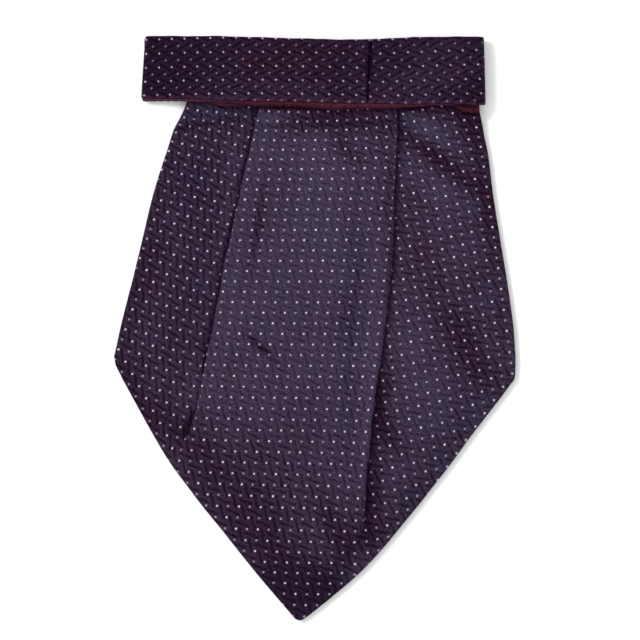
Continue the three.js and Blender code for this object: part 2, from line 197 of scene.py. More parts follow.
def lift(y):
    return BAND_LIFT * smooth((y - (REAR_BOTTOM - BAND_CLEAR)) / (BAND_CLEAR - 1.5))


def rear_top(x, y):
    inside = np.minimum(x - left_edge(y), right_edge(y) - x) * 0.85 - 1.5
    return lift(y) + REAR_RIM + (REAR_CORE - REAR_RIM) * smooth(inside / REAR_RISE)


# ------------------------------------------------------------------ soft troughs, ridges, and the silk's painted sheen and shade
# Creases, listed one by one: from one place on the plan to another, bowed sideways, with a width and a height.
CREASES = {
    "left": [
        dict(x1=172, y1=130.5, x2=228, y2=121.5, bow=-0.8, width=1.8, height=-0.45),
        dict(x1=178, y1=124, x2=236, y2=114, bow=-0.8, width=4.5, height=0.45),
        dict(x1=178, y1=137, x2=236, y2=128, bow=-0.8, width=5.0, height=0.25),
        dict(x1=238, y1=140, x2=205, y2=260, bow=2.0, width=9.0, height=0.20),
        dict(x1=172, y1=190, x2=150, y2=300, bow=3.0, width=12.0, height=-0.22),
        dict(x1=150, y1=300, x2=176, y2=400, bow=-4.0, width=9.0, height=0.20),
        dict(x1=194, y1=414, x2=184, y2=441, bow=0.0, width=4.5, height=-0.60),
        dict(x1=165, y1=380, x2=186, y2=428, bow=2.0, width=7.0, height=0.22),
    ],
    "centre": [
        dict(x1=285, y1=127, x2=392, y2=123, bow=2.0, width=7.0, height=-0.40),
        dict(x1=262, y1=119, x2=284, y2=121, bow=0.0, width=5.0, height=0.35),
        dict(x1=328, y1=138, x2=352, y2=166, bow=0.0, width=6.0, height=-0.30),
        dict(x1=252, y1=160, x2=216, y2=380, bow=2.0, width=9.0, height=0.30),
        dict(x1=264, y1=186, x2=255, y2=262, bow=2.0, width=6.0, height=-0.30),
        dict(x1=330, y1=150, x2=322, y2=300, bow=0.0, width=22.0, height=0.30),
        dict(x1=357, y1=205, x2=349, y2=395, bow=2.0, width=9.0, height=-0.38),
        dict(x1=381, y1=220, x2=368, y2=500, bow=1.0, width=8.0, height=0.32),
        dict(x1=243, y1=333, x2=277, y2=362, bow=-1.5, width=1.8, height=-0.24),
        dict(x1=241, y1=339, x2=274, y2=368, bow=-1.5, width=4.0, height=0.16),
        dict(x1=378, y1=378, x2=366, y2=516, bow=0.0, width=7.0, height=0.75),
        dict(x1=198, y1=408, x2=188, y2=434, bow=0.0, width=6.0, height=0.80),
        dict(x1=212, y1=395, x2=250, y2=540, bow=-5.0, width=16.0, height=-0.30),
        dict(x1=290, y1=420, x2=300, y2=520, bow=4.0, width=20.0, height=0.24),
        dict(x1=324, y1=503, x2=345, y2=548, bow=0.0, width=5.0, height=-0.26),
        dict(x1=310, y1=500, x2=326, y2=550, bow=0.0, width=6.0, height=0.16),
    ],
    "right": [
        dict(x1=404, y1=112, x2=456, y2=152, bow=-3.0, width=8.0, height=0.80),
        dict(x1=404, y1=137, x2=484, y2=196, bow=-5.0, width=8.0, height=-0.42),
        dict(x1=404, y1=168, x2=470, y2=212, bow=-5.0, width=11.0, height=0.55),
        dict(x1=462, y1=120, x2=486, y2=170, bow=0.0, width=7.0, height=-0.25),
        dict(x1=410, y1=222, x2=446, y2=292, bow=-3.0, width=12.0, height=-0.24),
        dict(x1=448, y1=298, x2=480, y2=380, bow=3.0, width=11.0, height=-0.45),
        dict(x1=470, y1=260, x2=503, y2=350, bow=0.0, width=9.0, height=0.22),
        dict(x1=408, y1=316, x2=428, y2=424, bow=4.0, width=16.0, height=0.38),
        dict(x1=386, y1=410, x2=394, y2=466, bow=0.0, width=5.5, height=-0.22),
        dict(x1=402, y1=430, x2=392, y2=506, bow=0.0, width=9.0, height=0.18),
    ],
    "under": [
        dict(x1=250, y1=112, x2=214, y2=360, bow=3.0, width=3.0, height=0.35),
        dict(x1=380, y1=112, x2=390, y2=420, bow=-3.0, width=3.0, height=0.35),
        dict(x1=160, y1=300, x2=240, y2=330, bow=4.0, width=7.0, height=0.25),
        dict(x1=420, y1=170, x2=480, y2=230, bow=-3.0, width=6.0, height=0.25),
        dict(x1=300, y1=440, x2=340, y2=520, bow=3.0, width=8.0, height=0.25),
        dict(x1=200, y1=150, x2=230, y2=128, bow=2.0, width=4.0, height=0.22),
    ],
    "band": [
        dict(x1=150, y1=70, x2=230, y2=66, bow=1.0, width=9.0, height=0.10),
        dict(x1=205, y1=88, x2=360, y2=92, bow=-2.0, width=5.0, height=0.14),
        dict(x1=250, y1=58, x2=350, y2=56, bow=2.0, width=5.0, height=-0.12),
        dict(x1=240, y1=104, x2=238, y2=38, bow=1.0, width=6.0, height=-0.08),
        dict(x1=385, y1=96, x2=470, y2=60, bow=1.0, width=7.0, height=0.12),
        dict(x1=392, y1=44, x2=392, y2=100, bow=0.0, width=5.0, height=-0.08),
    ],
}


def creases(name, px, py):
    out = np.zeros_like(px)
    for c in CREASES[name]:
        dx, dy = c["x2"] - c["x1"], c["y2"] - c["y1"]
        length = math.hypot(dx, dy)
        ax, ay = dx / length, dy / length
        s = ((px - c["x1"]) * ax + (py - c["y1"]) * ay) / length
        off = (px - c["x1"]) * -ay + (py - c["y1"]) * ax - c["bow"] * 4 * np.clip(s, 0, 1) * (1 - np.clip(s, 0, 1))
        past = np.maximum(np.maximum(-s, s - 1), 0) * length / (c["width"] * 1.6)
        fade = smooth(s / 0.22 + 0.35) * smooth((1 - s) / 0.22 + 0.35)
        out += c["height"] * np.exp(-((off / c["width"]) ** 2) - past**2) * fade
    return out


# Painted sheen: where the silk catches the light and where it shows its wine-red side, with painted shade in its
# creases and beside the folds, listed in the same way.
# "light" lifts it towards pale slate violet or drops it towards wine black, "blue" turns the hue.
SHEEN_AND_SHADE = {
    "left": [
        dict(x=205, y=114, along=40, across=9, angle=2, light=0.10, blue=0.75),
        dict(x=196, y=126.2, along=26, across=1.7, angle=-10, light=-0.62, blue=0.0),
        dict(x=228, y=122, along=16, across=4, angle=-10, light=-0.10, blue=0.2),
        dict(x=226, y=152, along=22, across=10, angle=-70, light=0.10, blue=-0.05),
        dict(x=229, y=205, along=66, across=9, angle=-77, light=0.20, blue=0.05),
        dict(x=192, y=180, along=52, across=20, angle=-72, light=-0.03, blue=0.75),
        dict(x=205, y=255, along=60, across=14, angle=-75, light=-0.01, blue=0.45),
        dict(x=148, y=270, along=90, across=14, angle=-75, light=-0.12, blue=-0.12),
        dict(x=165, y=345, along=40, across=16, angle=-60, light=-0.02, blue=0.15),
        dict(x=136, y=395, along=60, across=10, angle=58, light=-0.18, blue=-0.30),
        dict(x=194, y=385, along=24, across=12, angle=-76, light=0.26, blue=-0.05),
        dict(x=176, y=432, along=24, across=10, angle=60, light=-0.16, blue=0.1),
    ],
    "centre": [
        dict(x=335, y=122, along=70, across=11, angle=0, light=-0.52, blue=-0.05),
        dict(x=270, y=119, along=14, across=5, angle=2, light=0.42, blue=0.55),
        dict(x=258, y=136, along=16, across=7, angle=2, light=0.02, blue=0.4),
        dict(x=345, y=148, along=20, across=9, angle=50, light=-0.42, blue=-0.25),
        dict(x=389, y=175, along=58, across=9, angle=90, light=-0.30, blue=-0.18),
        dict(x=390, y=262, along=50, across=4, angle=-86, light=-0.22, blue=-0.15),
        dict(x=372, y=140, along=18, across=12, angle=90, light=-0.10, blue=-0.1),
        dict(x=238, y=285, along=110, across=9, angle=-77, light=0.14, blue=-0.05),
        dict(x=260, y=216, along=38, across=6, angle=-80, light=-0.44, blue=-0.30),
        dict(x=246, y=268, along=26, across=5, angle=-74, light=-0.20, blue=-0.2),
        dict(x=318, y=180, along=40, across=34, angle=80, light=0.14, blue=-0.05),
        dict(x=325, y=245, along=44, across=22, angle=80, light=0.05, blue=0.35),
        dict(x=354, y=285, along=78, across=9, angle=-86, light=-0.20, blue=0.65),
        dict(x=347, y=395, along=50, across=10, angle=-87, light=-0.10, blue=0.45),
        dict(x=373, y=350, along=100, across=7, angle=-85, light=0.12, blue=-0.15),
        dict(x=364, y=430, along=40, across=6, angle=-84, light=0.04, blue=0.0),
        dict(x=285, y=300, along=60, across=28, angle=-80, light=0.05, blue=0.2),
        dict(x=261, y=347, along=20, across=3.4, angle=42, light=-0.62, blue=-0.20),
        dict(x=250, y=352, along=20, across=4, angle=42, light=0.08, blue=-0.3),
        dict(x=236, y=385, along=40, across=26, angle=-20, light=0.06, blue=-0.25),
        dict(x=322, y=390, along=40, across=14, angle=80, light=-0.02, blue=0.1),
        dict(x=214, y=478, along=110, across=36, angle=54, light=-0.32, blue=0.02),
        dict(x=192, y=452, along=26, across=12, angle=40, light=-0.12, blue=-0.35),
        dict(x=290, y=470, along=80, across=60, angle=0, light=-0.16, blue=0.0),
        dict(x=335, y=528, along=34, across=13, angle=66, light=-0.44, blue=-0.24),
        dict(x=356, y=520, along=26, across=11, angle=-78, light=-0.26, blue=0.0),
        dict(x=275, y=545, along=70, across=44, angle=45, light=-0.26, blue=0.0),
        dict(x=300, y=598, along=70, across=38, angle=0, light=-0.60, blue=0.70),
        dict(x=350, y=560, along=44, across=14, angle=-48, light=-0.16, blue=0.45),
    ],
    "right": [
        dict(x=428, y=129, along=30, across=8, angle=36, light=0.22, blue=0.85),
        dict(x=437, y=158, along=54, across=8, angle=37, light=-0.50, blue=-0.48),
        dict(x=432, y=188, along=36, across=11, angle=36, light=0.20, blue=0.10),
        dict(x=468, y=202, along=22, across=8, angle=40, light=0.10, blue=0.45),
        dict(x=470, y=120, along=26, across=13, angle=60, light=-0.52, blue=-0.10),
        dict(x=488, y=200, along=76, across=11, angle=82, light=-0.42, blue=-0.18),
        dict(x=424, y=250, along=50, across=18, angle=66, light=-0.07, blue=-0.30),
        dict(x=412, y=290, along=20, across=9, angle=80, light=-0.06, blue=-0.3),
        dict(x=462, y=338, along=46, across=17, angle=62, light=-0.38, blue=-0.20),
        dict(x=484, y=372, along=26, across=14, angle=50, light=-0.20, blue=-0.08),
        dict(x=492, y=290, along=50, across=12, angle=78, light=0.02, blue=0.30),
        dict(x=504, y=340, along=40, across=6, angle=86, light=-0.14, blue=-0.5),
        dict(x=418, y=362, along=62, across=20, angle=78, light=0.14, blue=0.10),
        dict(x=440, y=410, along=44, across=20, angle=-60, light=0.05, blue=0.20),
        dict(x=462, y=430, along=70, across=12, angle=-52, light=-0.08, blue=0.60),
        dict(x=384, y=396, along=36, across=7, angle=-84, light=-0.45, blue=-0.10),
        dict(x=388, y=432, along=26, across=9, angle=62, light=-0.38, blue=-0.20),
        dict(x=376, y=470, along=40, across=5, angle=-82, light=-0.14, blue=0.10),
        dict(x=400, y=475, along=36, across=12, angle=-75, light=0.04, blue=-0.05),
        dict(x=404, y=508, along=60, across=12, angle=-48, light=-0.22, blue=0.45),
        dict(x=373, y=508, along=36, across=10, angle=-82, light=-0.50, blue=-0.05),
        dict(x=376, y=520, along=8, across=6, angle=0, light=0.10, blue=-0.9),
        dict(x=403, y=160, along=60, across=5, angle=90, light=-0.06, blue=0.35),
    ],
    "band": [
        dict(x=155, y=68, along=40, across=46, angle=90, light=-0.33, blue=0.15),
        dict(x=265, y=60, along=70, across=16, angle=2, light=-0.02, blue=-0.45),
        dict(x=290, y=88, along=70, across=8, angle=1, light=0.16, blue=-0.30),
        dict(x=330, y=50, along=40, across=8, angle=0, light=-0.03, blue=-0.25),
        dict(x=428, y=80, along=50, across=16, angle=-14, light=0.24, blue=-0.20),
        dict(x=440, y=50, along=50, across=8, angle=-3, light=0.10, blue=0.25),
        dict(x=369, y=70, along=34, across=5, angle=90, light=-0.12, blue=0.0),
        dict(x=330, y=99.5, along=110, across=3.5, angle=1.5, light=0.06, blue=-0.45),
        dict(x=478, y=101, along=14, across=3.5, angle=0, light=0.0, blue=-0.5),
    ],
    "under": [
        dict(x=260, y=200, along=80, across=30, angle=70, light=0.20, blue=0.2),
        dict(x=380, y=260, along=90, across=24, angle=80, light=-0.20, blue=-0.3),
        dict(x=200, y=330, along=60, across=24, angle=-60, light=-0.20, blue=-0.2),
        dict(x=440, y=330, along=60, across=24, angle=70, light=0.18, blue=0.3),
        dict(x=310, y=470, along=60, across=30, angle=60, light=0.12, blue=0.1),
        dict(x=300, y=590, along=50, across=30, angle=0, light=-0.22, blue=0.0),
    ],
}
SHEEN_AND_SHADE_BASE = {"left": (0.26, 0.05), "centre": (0.61, 0.0), "right": (0.48, 0.0), "band": (0.15, -0.05), "under": (0.42, 0.0)}


def sheen_and_shade(name, px, py):
    light = np.full_like(px, SHEEN_AND_SHADE_BASE[name][0])
    blue = np.full_like(px, SHEEN_AND_SHADE_BASE[name][1])
    for r in SHEEN_AND_SHADE[name]:
        c, s = math.cos(math.radians(r["angle"])), math.sin(math.radians(r["angle"]))
        a = ((px - r["x"]) * c + (py - r["y"]) * s) / r["along"]
        b = (-(px - r["x"]) * s + (py - r["y"]) * c) / r["across"]
        w = np.exp(-(a * a) - b * b)
        light += r["light"] * w
        blue += r["blue"] * w
    return np.stack([light, blue], -1)


# ------------------------------------------------------------------ the pattern's lattice on each panel
# Each panel's grain runs its own way. The two lattice coordinates are whole numbers at the pin dots,
# worked out from the place on the plan, in hundreds of units from the panel's middle (x0, y0).
def lattice(x0, y0, du, dv, u, v):
    """u and v are (constant, along y, along yy, along x, along xy, along xx)."""

    def at(px, py):
        x, y = (px - x0) / 100, (py - y0) / 100
        terms = (np.ones_like(x), y, y * y, x, x * y, x * x)
        return np.stack([sum(k * t for k, t in zip(u, terms)) + du, sum(k * t for k, t in zip(v, terms)) + dv], -1)

    return at


panel_left = lattice(184.45, 263.19, -13, 0, (-0.7348, 3.2732, -0.0995, 9.2525, -0.033, 0.191), (2.6114, 9.5781, -0.1406, -1.9348, 0.1237, 0.0557))
panel_right = lattice(437.99, 303.61, 20, -2, (-1.0562, -1.1769, 0.0508, 9.3114, -0.1299, -0.0273), (10.0212, 9.3162, -0.1534, 2.113, -0.1061, 0.0169))
grain_middle = lattice(299.95, 345.32, 0, 0, (1.7725, 1.115, 0.013, 9.3477, -0.0779, 0.073), (10.0763, 9.427, -0.1531, -0.0258, -0.0752, 0.0751))
grain_band_l = lattice(253.43, 71.72, 1, 0, (-0.0967, -7.0579, 0.3987, 7.5663, -0.1805, 0.0224), (0.644, 7.427, 1.1539, 7.5331, -0.1604, -0.1767))
grain_band_r = lattice(426.65, 73.36, 0, 0, (-0.2472, -7.7161, 0.0338, 6.9601, 0.0797, 0.0301), (-0.2988, 6.2857, 0.2589, 7.4904, -0.2483, -0.0841))


def grain_left(px, py):
    uv = panel_left(px, py)
    pulled = smooth((134 - py) / 20) * smooth((236 - px) / 44)
    uv[..., 0] -= 0.27 * pulled
    uv[..., 1] -= 0.38 * pulled
    return uv


def grain_right(px, py):
    uv = panel_right(px, py)
    uv[..., 0] += 0.27 * smooth((152 - py) / 46) * smooth((px - 404) / 60)
    uv[..., 1] -= 0.11 * smooth((162 - py) / 36) * smooth(1 - abs(px - 440) / 30)
    return uv


def grain_centre(px, py):
    uv = grain_middle(px, py)
    t = smooth((py - 535) / 75)
    side = smooth((py - 535) / 30) * smooth((px - 305) / 50)
    uv[..., 0] -= 0.32 * t * smooth((px - 240) / 80) + 0.10 * side
    uv[..., 1] += 0.46 * t + 0.08 * side
    g = smooth((166 - py) / 60)
    uv[..., 0] += g * 0.0063 * np.clip(px - 316, -70, 90)
    uv[..., 1] += g * (-0.29 + 0.30 * (np.clip(px - 310, -60, 80) / 67) ** 2)
    low = smooth((px - 334) / 16) * smooth((py - 386) / 26) * (1 - smooth((py - 508) / 26))
    uv[..., 0] += 0.12 * low
    uv[..., 1] -= 0.08 * low
    return uv


# ------------------------------------------------------------------ meshes
def ring_mesh(name, rings, layers, caps="strip"):
    """A closed mesh through rings of points (rows, points, 3), in mm. layers holds UV values for each point.
    A ring's first half is its upper side and its second half the lower side, backwards, so each end closes with quads."""
    rows, count = rings.shape[:2]
    verts = rings.reshape(-1, 3) * 0.001
    k, i = np.meshgrid(np.arange(rows - 1), np.arange(count), indexing="ij")
    j = (i + 1) % count
    faces = np.stack([k * count + i, (k + 1) * count + i, (k + 1) * count + j, k * count + j], -1).reshape(-1, 4)
    half = count // 2
    a = np.arange(half - 1)
    for base, turned in ((0, False), ((rows - 1) * count, True)):
        cap = np.stack([base + a, base + a + 1, base + count - 2 - a, base + count - 1 - a], -1)
        faces = np.concatenate([faces, cap[:, ::-1] if turned else cap])
    mesh = bpy.data.meshes.new(name)
    mesh.from_pydata(verts.tolist(), [], faces.tolist())
    index = np.empty(len(mesh.loops), np.int64)
    mesh.loops.foreach_get("vertex_index", index)
    for layer, values in layers.items():
        uv = mesh.uv_layers.new(name=layer)
        uv.data.foreach_set("uv", values.reshape(-1, 2)[index].astype(np.float32).ravel())
    # Faces must look outwards.
    v = verts
    f = faces
    vol = np.einsum("ij,ij->i", v[f[:, 0]], np.cross(v[f[:, 1]], v[f[:, 2]])).sum() + np.einsum("ij,ij->i", v[f[:, 0]], np.cross(v[f[:, 2]], v[f[:, 3]])).sum()
    if vol < 0:
        mesh.flip_normals()
    mesh.polygons.foreach_set("use_smooth", np.ones(len(mesh.polygons), bool))
    mesh.update()
    obj = bpy.data.objects.new(name, mesh)
    bpy.context.scene.collection.objects.link(obj)
    return obj


ARC = 6
RUN = 7
SIDE_L, MIDDLE, SIDE_R, HIDDEN = 37, 78, 45, 6


def pleat_path(run, turn_deg, scale):
    turn = math.radians(turn_deg)
    arc = max(TURN * turn, LEAST_ARC * scale)
    legs = [(turn * i / ARC, turn * (i + 1) / ARC, arc / ARC) for i in range(ARC)]
    legs += [(turn, turn, max(run * (1 if turn_deg > 179 else scale), 0.05) / RUN)] * RUN
    legs += [(turn - turn * i / ARC, turn - turn * (i + 1) / ARC, arc / ARC) for i in range(ARC)]
    pts = [(0.0, 0.0, 0.0)]
    for a, b, length in legs:
        x, h, _ = pts[-1]
        half = (b - a) / 2
        chord = length * (math.sin(half) / half if abs(half) > 1e-9 else 1)
        mid = (a + b) / 2
        pts.append((x + chord * math.cos(mid), h + chord * math.sin(mid), b))
    return np.array(pts)


def blade_row(y):
    """The cloth's middle line at height y: place across, height over the side panels, heading, and which panel it is in,
    from 0 on the left panel to 1 on the centre panel and 2 on the right one."""
    left, right = left_edge(y) - left_out(y) + RIM_BULGE, right_edge(y) + right_out(y) - RIM_BULGE
    scale = min(1.0, (right - left) / 42)
    bulge = (TURN + WALL / 2) * scale
    pl = pleat_path(float(run_l(y)), float(turn_l(y)), scale)
    pr = pleat_path(float(run_r(y)), float(turn_r(y)), scale)
    top_l, top_r = fold_l(y) + bulge, fold_r(y) - bulge
    if top_r < top_l:
        top_l = top_r = (top_l + top_r) / 2
    start_l, start_r = top_l - pl[-1, 0], top_r + pr[-1, 0]
    # Closer together at the edge and at the fold, with a few more columns on under the centre panel.
    seen = min(float(fold_l(y)), start_l - 0.25)
    t = np.linspace(0, 1, SIDE_L - HIDDEN + 1)
    t = t - 0.08 * np.sin(2 * np.pi * t)
    xs = np.concatenate([lerp(left, seen, t), lerp(seen, start_l, np.linspace(0, 1, HIDDEN + 1)[1:-1])])
    rows = [np.stack([xs, 0 * xs, 0 * xs, 0 * xs], -1)]
    t = np.linspace(0, 1, len(pl))
    rows.append(np.stack([start_l + pl[:, 0], pl[:, 1], pl[:, 2], t], -1))
    t = np.linspace(0, 1, MIDDLE + 1)[1:-1]
    rows.append(np.stack([lerp(top_l, top_r, t), lerp(pl[-1, 1], pr[-1, 1], smooth(t)), 0 * t, 0 * t + 1], -1))
    t = np.linspace(0, 1, len(pr))
    back = pr[::-1]
    rows.append(np.stack([start_r - back[:, 0], back[:, 1], -back[:, 2], 1 + t], -1))
    seen = max(float(fold_r(y)), start_r + 0.25)
    t = np.linspace(0, 1, SIDE_R - HIDDEN + 1)
    t = t - 0.08 * np.sin(2 * np.pi * t)
    xs = np.concatenate([lerp(start_r, seen, np.linspace(0, 1, HIDDEN + 1)[1:-1]), lerp(seen, right, t)])
    rows.append(np.stack([xs, 0 * xs, 0 * xs, 0 * xs + 2], -1))
    return np.concatenate(rows)


def make_front_blade():
    ys = np.concatenate([np.linspace(112.9, 93.5, 7), np.arange(92.0, 80.2, -0.5), np.linspace(80.0, -113.4, 192), [-114.3, -115.1, -115.7, -116.2, -116.6, -116.9]])
    rows = np.stack([blade_row(y) for y in ys])
    x, h, heading, panel = (rows[..., k] for k in range(4))
    y = np.repeat(ys[:, None], x.shape[1], 1)
    px, py = plan(x, y)
    fl, fr = fold_l(y), fold_r(y)
    fpl, fpr = plan(fl, y)[0], plan(fr, y)[0]

    # How far each point belongs to the centre panel's grain, below the pleats' ends.
    to_centre_l = smooth((((px - 185) * 0.55 + (py - 440) * 0.83) + 7) / 16)
    to_centre_r = smooth((py - 518) / 26) * (1 - smooth((px - 346) / 22))
    mirror_l, mirror_r = 2 * fpl - px, 2 * fpr - px
    turned_l = smooth((turn_l(y) - 60) / 100)
    turned_r = smooth((turn_r(y) - 60) / 100)
    in_l, in_r = panel < 1, panel > 1
    wl = np.where(in_l, lerp(to_centre_l, 1, smooth(panel)), 1)
    wr = np.where(in_r, lerp(to_centre_r, 1, smooth(2 - panel)), 1)
    back_l = np.where((panel > 0) & (panel < 1), turned_l, 0)
    back_r = np.where((panel > 1) & (panel < 2), turned_r, 0)
    pxc = np.where(in_l, lerp(px, mirror_l, back_l), np.where(in_r, lerp(px, mirror_r, back_r), px))
    uv_c = grain_centre(pxc, py)
    uv = np.where(in_l[..., None], lerp(grain_left(px, py), uv_c, wl[..., None]), np.where(in_r[..., None], lerp(grain_right(px, py), uv_c, wr[..., None]), uv_c))

    # Relief: a side panel takes the centre's where it lies under it.
    under_band = smooth((py - 99) / 14)
    c_l, c_c, c_r = (creases(n, px, py) for n in ("left", "centre", "right"))
    seen_l = 1 - smooth((px - fpl + 2) / 14)
    seen_r = smooth((px - fpr + 14) / 14)
    side_l = lerp(c_c, c_l, seen_l * (1 - to_centre_l))
    side_r = lerp(c_c, c_r, seen_r * (1 - to_centre_r))
    rel = np.where(panel <= 0, side_l, np.where(in_l, lerp(side_l, c_c, smooth(panel)), np.where(panel >= 2, side_r, np.where(in_r, lerp(side_r, c_c, smooth(2 - panel)), c_c))))
    # The centre panel sags a little between its folds, and every edge lies down.
    mid = np.clip((x - fl) / np.maximum(fr - fl, 1), 0, 1)
    sag = -0.55 * np.sin(np.pi * mid) ** 2 * smooth((y + 95) / 60) * under_band
    edge = np.minimum(x - left_edge(y), right_edge(y) - x)
    lip = 0.16 * np.exp(-(((edge - 1.6) / 1.3) ** 2))
    rel = (rel * smooth(edge / 3.0 + 0.25) + lip) * under_band + sag

    base = rear_top(x, y) + GAP + WALL / 2 + 0.1 + 0.45 * smooth((y - 84) / 8)
    z = base + h + rel
    nx, nz = -np.sin(heading), np.cos(heading)
    top = np.stack([x + nx * WALL / 2, y, z + nz * WALL / 2], -1)
    low = np.stack([x - nx * WALL / 2, y, z - nz * WALL / 2], -1)

    def rim(k, out):
        p = np.stack([x[:, k], y[:, k], z[:, k]], -1)
        return [p + np.array([out * RIM_BULGE * a, 0, WALL * b]) for a, b in ((0.55, 0.42), (1.0, 0.16), (1.0, -0.16), (0.55, -0.42))]

    right_rim, left_rim = rim(-1, 1), rim(0, -1)
    ring = np.concatenate([top] + [p[:, None] for p in right_rim] + [low[:, ::-1]] + [p[:, None] for p in reversed(left_rim)], 1)

    sheen_lay = blade_sheen_and_shade(px, py, panel, wl, wr)
    below = np.maximum(lining_bottom(x) - y, 0)
    # Painted shadow on the blade just below the lining, darker and redder, from a little left of the middle rightwards.
    lining_shadow = np.exp(-((below / (2.3 + 1.5 * smooth((x - 36) / 10))) ** 2)) * smooth((x + 28) / 12)
    sheen_lay = sheen_lay + np.stack([-0.40 * lining_shadow, -(1 - 0.5 * smooth((x - 50) / 6)) * lining_shadow], -1)
    crevice_shade = blade_crevice_shade(px, py, fpl, fpr, panel, y)

    def spread(values):
        last, first = values[:, -1:], values[:, :1]
        return np.concatenate([values] + [last] * 4 + [values[:, ::-1]] + [first] * 4, 1)

    # The ring's halves must match for its end quads: turn it so that it starts at the left rim's lower half.
    layers = {"Lattice": spread(uv), "SheenLay": spread(sheen_lay), "Shade": spread(crevice_shade)}
    ring = np.roll(ring, 2, 1)
    layers = {k: np.roll(v, 2, 1) for k, v in layers.items()}
    return ring_mesh("front_blade_silk", ring, layers)


def blade_sheen_and_shade(px, py, panel, wl, wr):
    l, c, r = (sheen_and_shade(n, px, py) for n in ("left", "centre", "right"))
    # Below the left pleat the left panel's painted sheen and shade carry on into the centre's over some way.
    a, b = wl[..., None], wr[..., None]
    return np.where((panel < 1)[..., None], lerp(l, c, a), np.where((panel > 1)[..., None], lerp(r, c, b), c))


def blade_crevice_shade(px, py, fpl, fpr, panel, y):
    """Painted shade beside each fold, given as how far each place is from the fold's dark line in widths of that line,
    and how much painted shade it takes at the neckband's lining and in the gaping end of the left pleat."""
    # Painted shade beside each fold. The left pleat lies shut for a stretch above its end, where its painted shade
    # nearly goes, and gapes at the end itself.
    fold_shade_l = smooth((turn_l(y) - 40) / 90) * (1 - 0.92 * smooth((py - 373) / 8) * (1 - smooth((py - 405) / 6)))
    fold_shade_r = smooth((turn_r(y) - 40) / 90) * (1 - 0.35 * smooth((py - 500) / 24))
    soft = 2.3 + 2.8 * smooth((py - 350) / 60) + 0.9 * smooth((py - 190) / 60)
    far = np.where(panel < 1, np.maximum((fpl - px) / 2.9, (px - fpl) / 1.4), np.where(panel > 1, np.maximum((px - fpr) / soft, (fpr - px) / 1.4), 9.0))
    # A weaker crook counts as one that is further off.
    weak = np.where(panel < 1, fold_shade_l, np.where(panel > 1, 0.84 * fold_shade_r, 0.0))
    far = np.clip(far + 2.6 * (1 - weak), 0, 9)
    # Painted shade in the gaping end of the left pleat.
    wide = 1.5 + 3.3 * smooth((py - 409) / 18)
    gape_shade = np.exp(-(((px - 196.0 + (py - 410) * 0.36) / wide) ** 2)) * smooth((py - 407) / 7) * (1 - smooth((py - 433) / 8)) * (panel <= 0.6)
    # Painted shadow on the blade just below the neckband's lining, stronger in some stretches, and full under the
    # lining itself.
    x_mm = (px - PLAN_X) * UNIT
    below = lining_bottom(x_mm) - y
    weight = 0.12 + 0.22 * smooth((x_mm + 26) / 10) + 0.66 * np.exp(-(((x_mm + 12) / 13) ** 2)) + 0.34 * np.exp(-(((x_mm - 43) / 8) ** 2)) + 0.60 * np.exp(-(((x_mm - 61) / 5) ** 2))
    band = np.clip(weight, 0, 1) * (1 - smooth((below - 0.2) / 1.6)) + smooth((-0.2 - below) / 1)
    return np.stack([far, np.clip(0.95 * gape_shade + band, 0, 1)], -1)


def make_rear_blade():
    ys = np.concatenate([np.linspace(111.9, -111.6, 150), [-112.2, -112.6]])
    n = 90
    t = np.linspace(0, 1, n)
    half = np.maximum((right_edge(ys) - left_edge(ys)) / 2 - REAR_INSET, 1.2)
    middle = (right_edge(ys) + left_edge(ys)) / 2
    x = middle[:, None] + (2 * t - 1)[None] * (half - 0.5)[:, None]
    y = np.repeat(ys[:, None], n, 1)
    px, py = plan(x, y)
    low = lift(y)
    thick = rear_top(x, y) - low - 0.28
    # The layers' edges: two turned edges, the upper one a little further in.
    profile = ((0.10, 0.90), (0.42, 0.80), (0.50, 0.66), (0.30, 0.54), (-0.35, 0.47), (0.34, 0.40), (0.56, 0.27), (0.50, 0.12), (0.16, 0.0))
    hollow = np.clip(creases("under", px, py), 0, 1) * smooth((84 - y) / 20) * smooth(np.minimum(x - left_edge(y) - 3, right_edge(y) - 3 - x) / 5)
    up = np.stack([x, y, low + thick], -1)
    down = np.stack([x, y, low + hollow * 0.8], -1)

    def rim(k, out):
        wave = 0.12 * np.sin(ys * 0.21 + k) + 0.08 * np.sin(ys * 0.53 + 2 * k)
        return [np.stack([x[:, k] + out * (a + wave * (b > 0.45)), ys, low[:, k] + thick[:, k] * b], -1)[:, None] for a, b in profile]

    ring = np.concatenate([up] + rim(-1, 1) + [down[:, ::-1]] + rim(0, -1)[::-1], 1)
    uv, sheen_lay = grain_centre(px, py), sheen_and_shade("under", px, py)

    def spread(v):
        return np.concatenate([v] + [v[:, -1:]] * 9 + [v[:, ::-1]] + [v[:, :1]] * 9, 1)

    painted_shade = np.stack([0 * x + 9, 0 * x], -1)
    layers = {"Lattice": spread(uv), "SheenLay": spread(sheen_lay), "Shade": spread(painted_shade)}
    # 2n + 18 points: half is n + 9, so turn by 4 and put one rim's middle point first.
    ring = np.roll(ring, 4, 1)
    layers = {k: np.roll(v, 4, 1) for k, v in layers.items()}
    return ring_mesh("rear_blade_layers", ring, layers)


# ------------------------------------------------------------------ neckband
def front_height(x):
    return band_under(x) + 2 * GAP + CAD_WALL * 1.5


